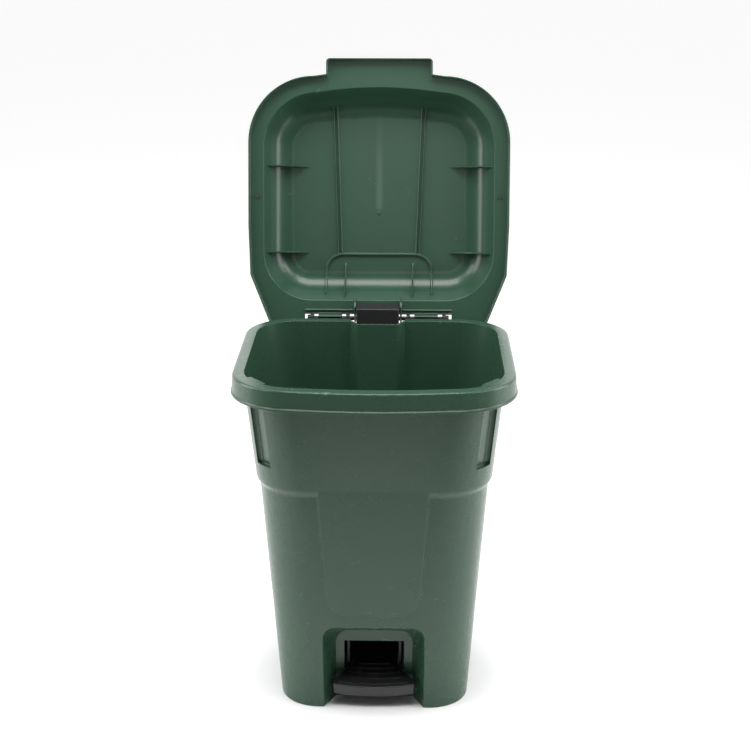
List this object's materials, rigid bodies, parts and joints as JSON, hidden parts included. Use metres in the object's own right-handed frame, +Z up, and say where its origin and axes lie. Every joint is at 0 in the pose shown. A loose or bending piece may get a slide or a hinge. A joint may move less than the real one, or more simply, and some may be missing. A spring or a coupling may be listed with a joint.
{
  "type": "pedal trash can",
  "caption": "Moulded pedal bin with a tapered bucket, a domed lid on a rod hinge and a foot pedal that lifts the lid through a push rod at the back.",
  "frame": {"origin": "on the floor under the middle of the bucket, on the plane of its foot", "axes": "+Z up, -Y towards the front where the pedal is, +X to the right seen from the front"},
  "size_m": [0.422, 0.5257, 0.9322],
  "materials": {
    "body_green": "semi-gloss injection-moulded polypropylene, dark green",
    "lid_green": "semi-gloss injection-moulded polypropylene, dark green",
    "pedal_black": "glossy black moulded plastic",
    "black_plastic": "satin black moulded plastic",
    "wear_shoe": "natural acetal",
    "rod_black": "black coated steel rod",
    "zinc_steel": "zinc plated steel",
    "soft_grey": "soft dark grey elastomer"
  },
  "bodies": {
    "bin": {"bin_body": "body_green", "hinge_rod": "rod_black", "hinge_rod_clips": "black_plastic", "hinge_bracket_left": "black_plastic", "hinge_bracket_right": "black_plastic", "hinge_bracket_screws": "zinc_steel", "rod_guide_upper": "black_plastic", "rod_guide_middle": "black_plastic", "rod_guide_lower": "black_plastic", "rod_guide_screws": "zinc_steel", "pedal_axle": "zinc_steel", "pedal_axle_clips": "zinc_steel", "pedal_housing": "black_plastic", "pedal_housing_screws": "zinc_steel", "pedal_stop_pad": "soft_grey"},
    "lid": {"lid_shell": "lid_green", "lid_buffers": "soft_grey"},
    "push_rod": {"push_rod": "black_plastic", "lifter_head": "black_plastic", "lifter_head_screws": "zinc_steel", "lifter_pin": "zinc_steel", "lifter_pin_clips": "zinc_steel", "rod_foot": "wear_shoe"},
    "pedal": {"pedal_lever": "pedal_black"}
  },
  "joints": [
    {"name": "lid_hinge", "type": "hinge", "parent": "bin", "child": "lid", "pos_m": [0, 0.203, 0.526], "axis": [1, 0, 0], "range_deg": [0, 103.5]},
    {"name": "push_rod_slide", "type": "slide", "parent": "bin", "child": "push_rod", "axis": [0, -0.0841, -0.9965], "range_m": [0, 0.0345]},
    {"name": "pedal_hinge", "type": "hinge", "parent": "bin", "child": "pedal", "pos_m": [0, 0.01, 0.06], "axis": [-1, 0, 0], "range_deg": [0, 18.49]}
  ],
  "couplings": [
    {"joint": "push_rod_slide", "follows": "lid_hinge", "m_per_rad": 0.019099},
    {"joint": "pedal_hinge", "follows": "lid_hinge", "ratio": 0.17863}
  ]
}
